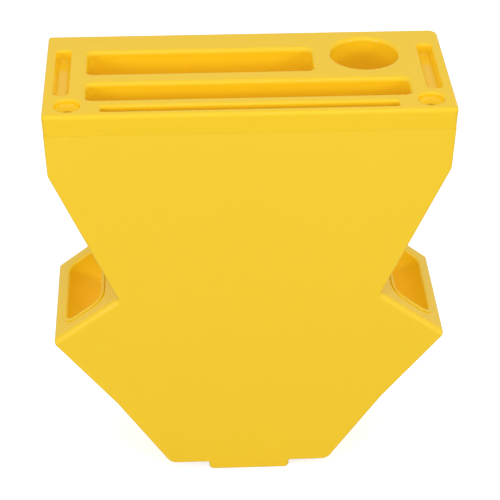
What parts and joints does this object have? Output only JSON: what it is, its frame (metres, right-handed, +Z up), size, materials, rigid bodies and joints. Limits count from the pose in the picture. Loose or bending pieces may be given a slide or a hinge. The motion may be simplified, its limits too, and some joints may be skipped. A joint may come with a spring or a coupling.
{
  "type": "tool caddy",
  "caption": "Free-standing moulded caddy with an hourglass body, a slotted deck with a can well, and a lift-out cup in each slanted side wing.",
  "frame": {"origin": "centre of the foot's underside, on the floor", "axes": "+Z up, +X to the right as seen from the front, front towards -Y"},
  "size_m": [0.4038, 0.173, 0.45],
  "materials": {
    "yellow_shell": "satin-gloss moulded polyethylene, warm yellow, faint orange-peel texture and light scuffs",
    "yellow_deck": "satin moulded polyethylene, warm yellow, a little duller on top",
    "yellow_liner": "satin-gloss moulded polyethylene, deeper yellow inside the cup",
    "screw_steel": "zinc-plated socket screw",
    "insert_brass": "turned brass insert"
  },
  "bodies": {
    "caddy": {"body_shell": "yellow_shell", "slotted_deck": "yellow_deck", "deck_screws": "screw_steel", "threaded_inserts": "insert_brass"},
    "liner_left": {"pocket_liner_left": "yellow_liner"},
    "liner_right": {"pocket_liner_right": "yellow_liner"}
  },
  "joints": [
    {"name": "liner_left_lift", "type": "slide", "parent": "caddy", "child": "liner_left", "axis": [-0.6036, 0, 0.7973], "range_m": [0, 0.08]},
    {"name": "liner_right_lift", "type": "slide", "parent": "caddy", "child": "liner_right", "axis": [0.6036, 0, 0.7973], "range_m": [0, 0.08]}
  ]
}
